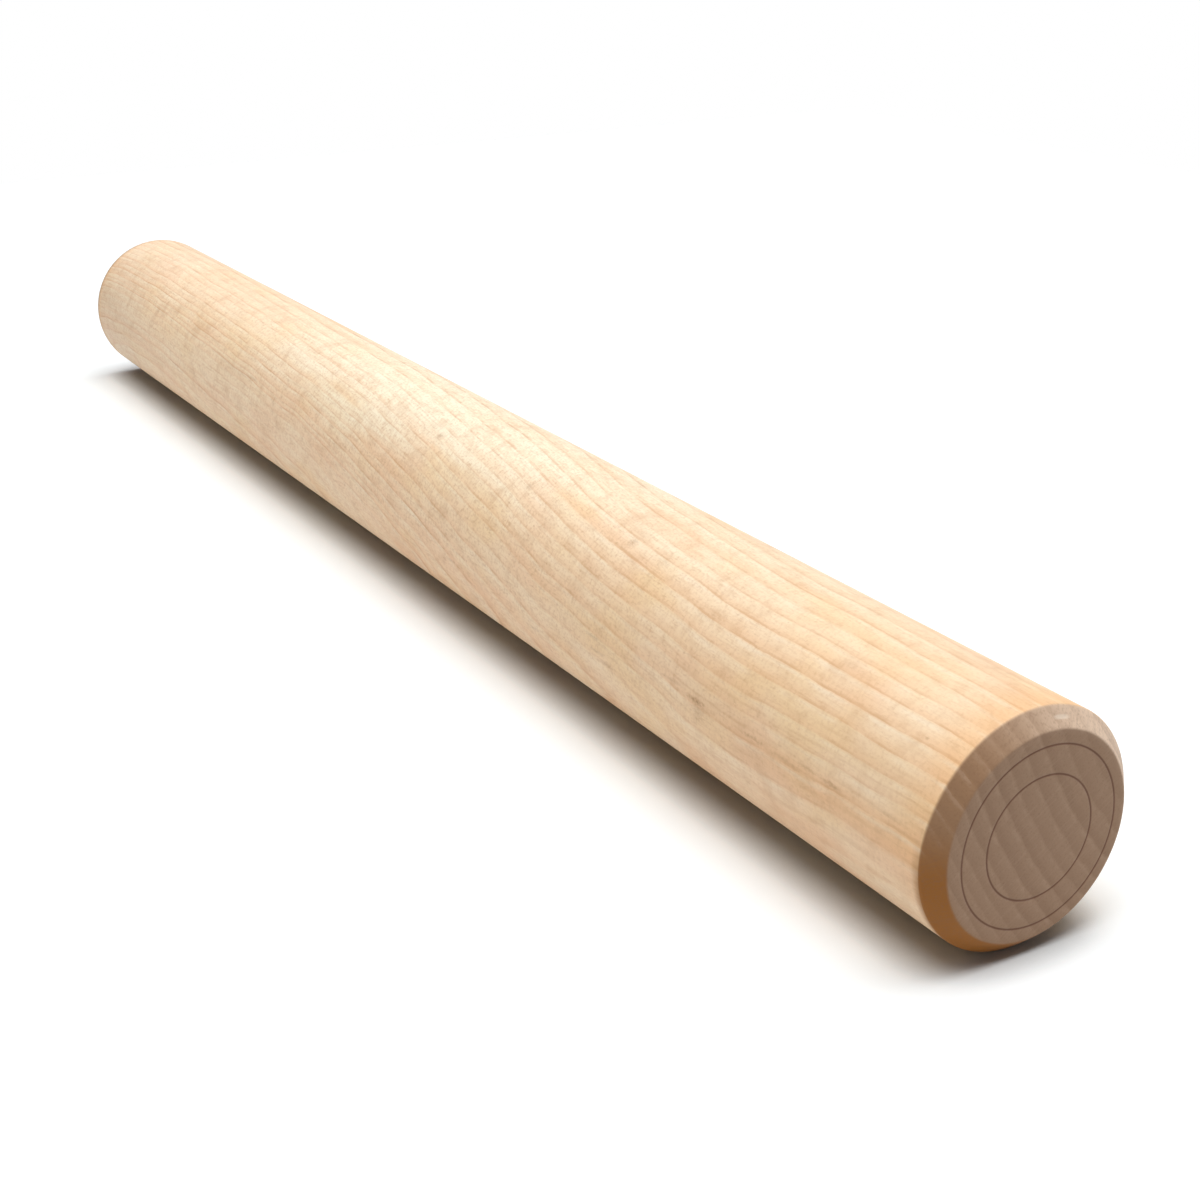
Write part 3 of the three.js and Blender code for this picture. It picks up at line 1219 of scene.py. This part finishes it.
@dataclass(frozen=True)
class Studio:
    """White floor, pale surround and soft lamps, at a level that shows colours as they are written."""

    floor_half: float = 0.7
    floor_white: float = 0.92  # how much light the floor gives back
    seen_white: float = 1.03  # the same for the camera alone, which sees a bright sweep
    seen_tint: tuple[float, float, float] = (1.0, 1.035, 1.05)  # a cool tint painted on the floor's white, which takes out part of the wood's warm bounce light in its shade
    painted_shadow_reach: float = 13.0 * MM  # how near a thing has to be for the floor below it to get painted contact shadow
    painted_shadow_share: float = 0.48  # what the painted contact shadow leaves of the floor's white where it is hemmed in
    surround: float = 0.15  # light from all round
    top_size: tuple[float, float] = (5.4, 2.8)
    top_place: tuple[float, float, float] = (0.35, 0.0, 4.5)
    top_power: float = 246.0
    window_size: tuple[float, float] = (1.5, 0.6)
    window_place: tuple[float, float, float] = (-1.75, 0.25, 1.25)
    window_power: float = 8.0

    def build(self) -> None:
        """Makes the floor, the world and the lamps."""
        self.floor()
        self.world()
        self.lamp("overhead_softbox", self.top_place, self.top_size, self.top_power)
        window = self.lamp("window", self.window_place, self.window_size, self.window_power)
        window.visible_diffuse = False

    def seen_rays(self, tree: bpy.types.NodeTree) -> bpy.types.NodeSocket:
        """Tells rays that show a surface, straight or in a reflection, from those that only light others.

        Args:
            tree: The floor's or the world's nodes.

        Returns:
            1 for camera, glossy and transmission rays, and 0 for the rest.
        """
        path = add_node(tree, "ShaderNodeLightPath")
        total = path.outputs["Is Camera Ray"]
        for kind in ("Is Glossy Ray", "Is Transmission Ray"):
            total = add_node(
                tree, "ShaderNodeMath", {0: total, 1: path.outputs[kind]}, operation="MAXIMUM"
            ).outputs[0]
        return total

    def floor(self) -> None:
        """Lays a white floor whose cast shade is real and whose white the camera sees as white.

        Where the pin hems it in, a painted contact shadow makes the floor darker for the camera, in
        proportion to the light that it loses from near by.
        """
        reach = self.floor_half
        mesh = bpy.data.meshes.new("floor")
        mesh.from_pydata(
            [(-reach, -reach, 0.0), (reach, -reach, 0.0), (reach, reach, 0.0), (-reach, reach, 0.0)],
            [],
            [(0, 1, 2, 3)],
        )
        floor = bpy.data.objects.new("floor", mesh)
        bpy.context.scene.collection.objects.link(floor)
        # Matt paper gives the eye an even white without sheen, and a soft grey in the shade.
        made = bpy.data.materials.new("matt_white_paper_sweep")
        made.use_nodes = True
        tree = made.node_tree
        tree.nodes.clear()
        seen = self.seen_rays(tree)
        # Painted contact shadow: ambient occlusion darkens the white that the camera sees near the pin.
        shadow_occlusion = add_node(tree, "ShaderNodeAmbientOcclusion", {"Distance": self.painted_shadow_reach})
        darkest_painted_shadow = self.painted_shadow_share * self.seen_white
        painted_contact_shadow = add_node(
            tree,
            "ShaderNodeMapRange",
            {0: shadow_occlusion.outputs["AO"], 1: 0.3, 2: 0.8, 3: darkest_painted_shadow, 4: self.seen_white},
        )
        cool = add_node(
            tree,
            "ShaderNodeVectorMath",
            {0: self.seen_tint, "Scale": painted_contact_shadow.outputs[0]},
            operation="SCALE",
        )
        plain = (self.floor_white, self.floor_white, self.floor_white, 1.0)
        white = add_node(tree, "ShaderNodeMix", {0: seen, 6: plain, 7: cool.outputs[0]}, data_type="RGBA")
        paper = add_node(tree, "ShaderNodeBsdfDiffuse", {"Color": white.outputs[2]})
        add_node(tree, "ShaderNodeOutputMaterial", {"Surface": paper.outputs[0]})
        mesh.materials.append(made)

    def world(self) -> None:
        """Surrounds the scene with even light that the camera and reflections see as white."""
        world = bpy.data.worlds.new("white_surround")
        bpy.context.scene.world = world
        world.use_nodes = True
        tree = world.node_tree
        tree.nodes.clear()
        seen = self.seen_rays(tree)
        strength = add_node(tree, "ShaderNodeMapRange", {0: seen, 3: self.surround, 4: 1.0})
        sky = add_node(
            tree,
            "ShaderNodeBackground",
            {"Color": (1.0, 1.0, 1.0, 1.0), "Strength": strength.outputs[0]},
        )
        add_node(tree, "ShaderNodeOutputWorld", {"Surface": sky.outputs[0]})

    def lamp(
        self, name: str, place: tuple[float, float, float], size: tuple[float, float], power: float
    ) -> bpy.types.Object:
        """Hangs a soft box that faces the pin.

        Args:
            name: The lamp's name.
            place: Where its middle is, in metres.
            size: Its width and height, in metres.
            power: Its power, in watts.

        Returns:
            The lamp.
        """
        light = bpy.data.lights.new(name, "AREA")
        light.shape = "RECTANGLE"
        light.size, light.size_y = size
        light.energy = power
        lamp = bpy.data.objects.new(name, light)
        bpy.context.scene.collection.objects.link(lamp)
        x, y, z = place
        lamp.location = place
        lamp.rotation_euler = (math.atan2(math.hypot(x, y), z), 0.0, math.atan2(x, -y))
        return lamp


@dataclass(frozen=True)
class PhotoCamera:
    """The photograph's viewpoint: above the near end, looking down the pin."""

    place: tuple[float, float, float] = (0.46471, -0.22526, 0.19746)
    down: float = math.radians(22.389)
    heading: float = math.radians(58.946)  # to the left of straight across the pin
    lens_mm: float = 55.944
    sensor_mm: float = 36.0

    def build(self) -> None:
        """Makes the camera and gives it to the scene."""
        data = bpy.data.cameras.new("photo_camera")
        data.lens = self.lens_mm
        data.sensor_width = self.sensor_mm
        camera = bpy.data.objects.new("photo_camera", data)
        camera.location = self.place
        camera.rotation_euler = (math.pi / 2.0 - self.down, 0.0, self.heading)
        bpy.context.scene.collection.objects.link(camera)
        bpy.context.scene.camera = camera


def main() -> None:
    """Builds the camera, the studio and the pin, in that order."""
    logging.basicConfig(level=logging.INFO)
    bpy.context.scene.view_settings.view_transform = "Standard"
    PhotoCamera().build()
    Studio().build()
    dowel = Dowel()
    piece = dowel.build()
    dowel.dress(piece, OiledMaple(dowel.radius / MM, dowel.axis_height / MM))
    log.info("%s: %d faces", piece.name, len(piece.data.polygons))


if __name__ == "__main__":
    main()
